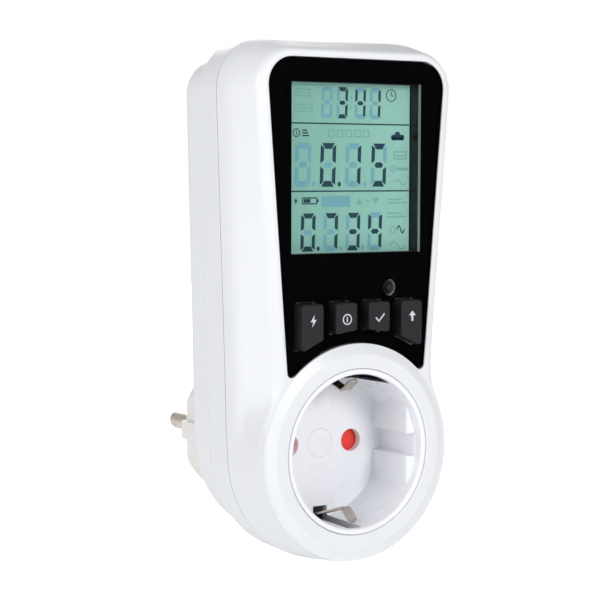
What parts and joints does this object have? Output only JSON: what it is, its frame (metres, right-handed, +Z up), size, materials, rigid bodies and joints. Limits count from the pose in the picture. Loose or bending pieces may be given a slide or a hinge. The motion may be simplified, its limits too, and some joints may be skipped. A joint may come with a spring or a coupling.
{
  "type": "plug-in power meter",
  "caption": "Plug-in mains energy meter: two-pin earthed plug behind, shuttered socket in front, tall tapered housing with a display panel and keys.",
  "frame": {"origin": "middle of the plug's end face, between the two pins", "axes": "+Y along the pins, into the wall socket; +Z up towards the display; +X right for a viewer facing the display"},
  "size_m": [0.0642, 0.0784, 0.1306],
  "materials": {
    "housing_white": "fine satin moulding",
    "insert_white": "satin moulding",
    "plug_white": "satin moulding, slightly warmer white",
    "panel_black": "gloss black print",
    "clear_lens": "polished clear acrylic",
    "black_plastic": "matt black",
    "lcd_glass": "liquid crystal display, green cast",
    "light_guide": "white diffuser",
    "zebra_rubber": "silicone connector strip",
    "circuit_board": "green solder mask",
    "chip_black": "moulded epoxy",
    "capacitor_case": "yellow film capacitor box",
    "varistor_coat": "blue dipped coating",
    "capacitor_sleeve": "shrink sleeve",
    "fuse_ceramic": "ceramic tube",
    "battery_sleeve": "green shrink sleeve",
    "manganin": "bare resistance alloy",
    "shutter_red": "red moulding",
    "spring_steel": "drawn wire",
    "brass": "stamped",
    "wire_brown": "brown insulation",
    "wire_blue": "blue insulation",
    "nickel": "satin nickel plating",
    "key_plastic": "dark grey, fine matt",
    "switch_metal": "tinned cover",
    "screw_steel": "zinc plated"
  },
  "bodies": {
    "root": {"battery_pack": "battery_sleeve", "board_header": "chip_black", "contact_carrier": "plug_white", "display_board": "circuit_board", "display_controller": "chip_black", "display_lens": "clear_lens", "display_mask": "panel_black", "earth_strap": "nickel", "film_capacitor": "capacitor_case", "filter_capacitor": "capacitor_sleeve", "front_housing": "housing_white", "fuse": "fuse_ceramic", "housing_screw_1": "screw_steel", "housing_screw_2": "screw_steel", "housing_screw_3": "screw_steel", "housing_screw_4": "screw_steel", "key_switch_1": "switch_metal", "key_switch_2": "switch_metal", "key_switch_3": "switch_metal", "key_switch_4": "switch_metal", "lcd_backlight": "light_guide", "lcd_frame": "black_plastic", "lcd_glass": "lcd_glass", "live_busbar": "brass", "live_contact": "brass", "live_pin": "nickel", "live_wire": "wire_brown", "metering_chip": "chip_black", "neutral_busbar": "brass", "neutral_contact": "brass", "neutral_pin": "nickel", "neutral_wire": "wire_blue", "plug_base": "plug_white", "plug_earth_clip_bottom": "nickel", "plug_earth_clip_top": "nickel", "power_board": "circuit_board", "rear_housing": "housing_white", "reset_switch": "switch_metal", "shunt_strip": "manganin", "shutter_pivot": "insert_white", "shutter_spring": "spring_steel", "socket_insert": "insert_white", "varistor": "varistor_coat", "zebra_strip_bottom": "zebra_rubber", "zebra_strip_top": "zebra_rubber"},
    "shutter": {"shutter_rotor": "shutter_red"},
    "reset": {"reset_button": "key_plastic"},
    "key_1_body": {"key_1": "key_plastic", "key_plunger_1": "chip_black"},
    "key_2_body": {"key_2": "key_plastic", "key_plunger_2": "chip_black"},
    "key_3_body": {"key_3": "key_plastic", "key_plunger_3": "chip_black"},
    "key_4_body": {"key_4": "key_plastic", "key_plunger_4": "chip_black"}
  },
  "joints": [
    {"name": "key_1_press", "type": "slide", "parent": "root", "child": "key_1_body", "axis": [0, 1, 0], "range_m": [0, 0.0008], "stiffness_N_per_m": 900, "springref_m": -0.0006},
    {"name": "key_2_press", "type": "slide", "parent": "root", "child": "key_2_body", "axis": [0, 1, 0], "range_m": [0, 0.0008], "stiffness_N_per_m": 900, "springref_m": -0.0006},
    {"name": "key_3_press", "type": "slide", "parent": "root", "child": "key_3_body", "axis": [0, 1, 0], "range_m": [0, 0.0008], "stiffness_N_per_m": 900, "springref_m": -0.0006},
    {"name": "key_4_press", "type": "slide", "parent": "root", "child": "key_4_body", "axis": [0, 1, 0], "range_m": [0, 0.0008], "stiffness_N_per_m": 900, "springref_m": -0.0006},
    {"name": "reset_press", "type": "slide", "parent": "root", "child": "reset", "axis": [0, 1, 0], "range_m": [0, 0.0008], "stiffness_N_per_m": 900, "springref_m": -0.0006},
    {"name": "shutter_turn", "type": "hinge", "parent": "root", "child": "shutter", "pos_m": [0, -0.0371, 0], "axis": [0, 1, 0], "range_deg": [0, 45], "stiffness_Nm_per_rad": 0.004, "springref_deg": -11.46}
  ]
}
